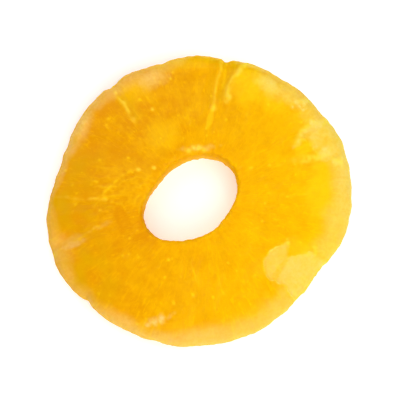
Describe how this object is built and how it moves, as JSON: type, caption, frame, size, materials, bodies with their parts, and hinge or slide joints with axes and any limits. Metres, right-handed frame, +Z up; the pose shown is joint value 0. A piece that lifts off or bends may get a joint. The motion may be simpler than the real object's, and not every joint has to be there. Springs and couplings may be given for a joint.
{
  "type": "pineapple ring",
  "caption": "Candied pineapple ring: a flat, cored slice of sugared, dried fruit with a lobed rim and an oval hole through it, eaten whole or used to decorate cakes.",
  "frame": {"origin": "middle of the slice's bounding box, on the surface it lies on", "axes": "+Z up out of the shown cut face, +X along the slice's longer diameter, +Y away from the viewer"},
  "size_m": [0.0702, 0.0676, 0.0098],
  "materials": {
    "flesh": "translucent amber-yellow candied fruit flesh, softly glossy, paler and cloudier along the thin rim and the creases"
  },
  "bodies": {
    "root": {"pineapple_ring": "flesh"}
  },
  "joints": []
}
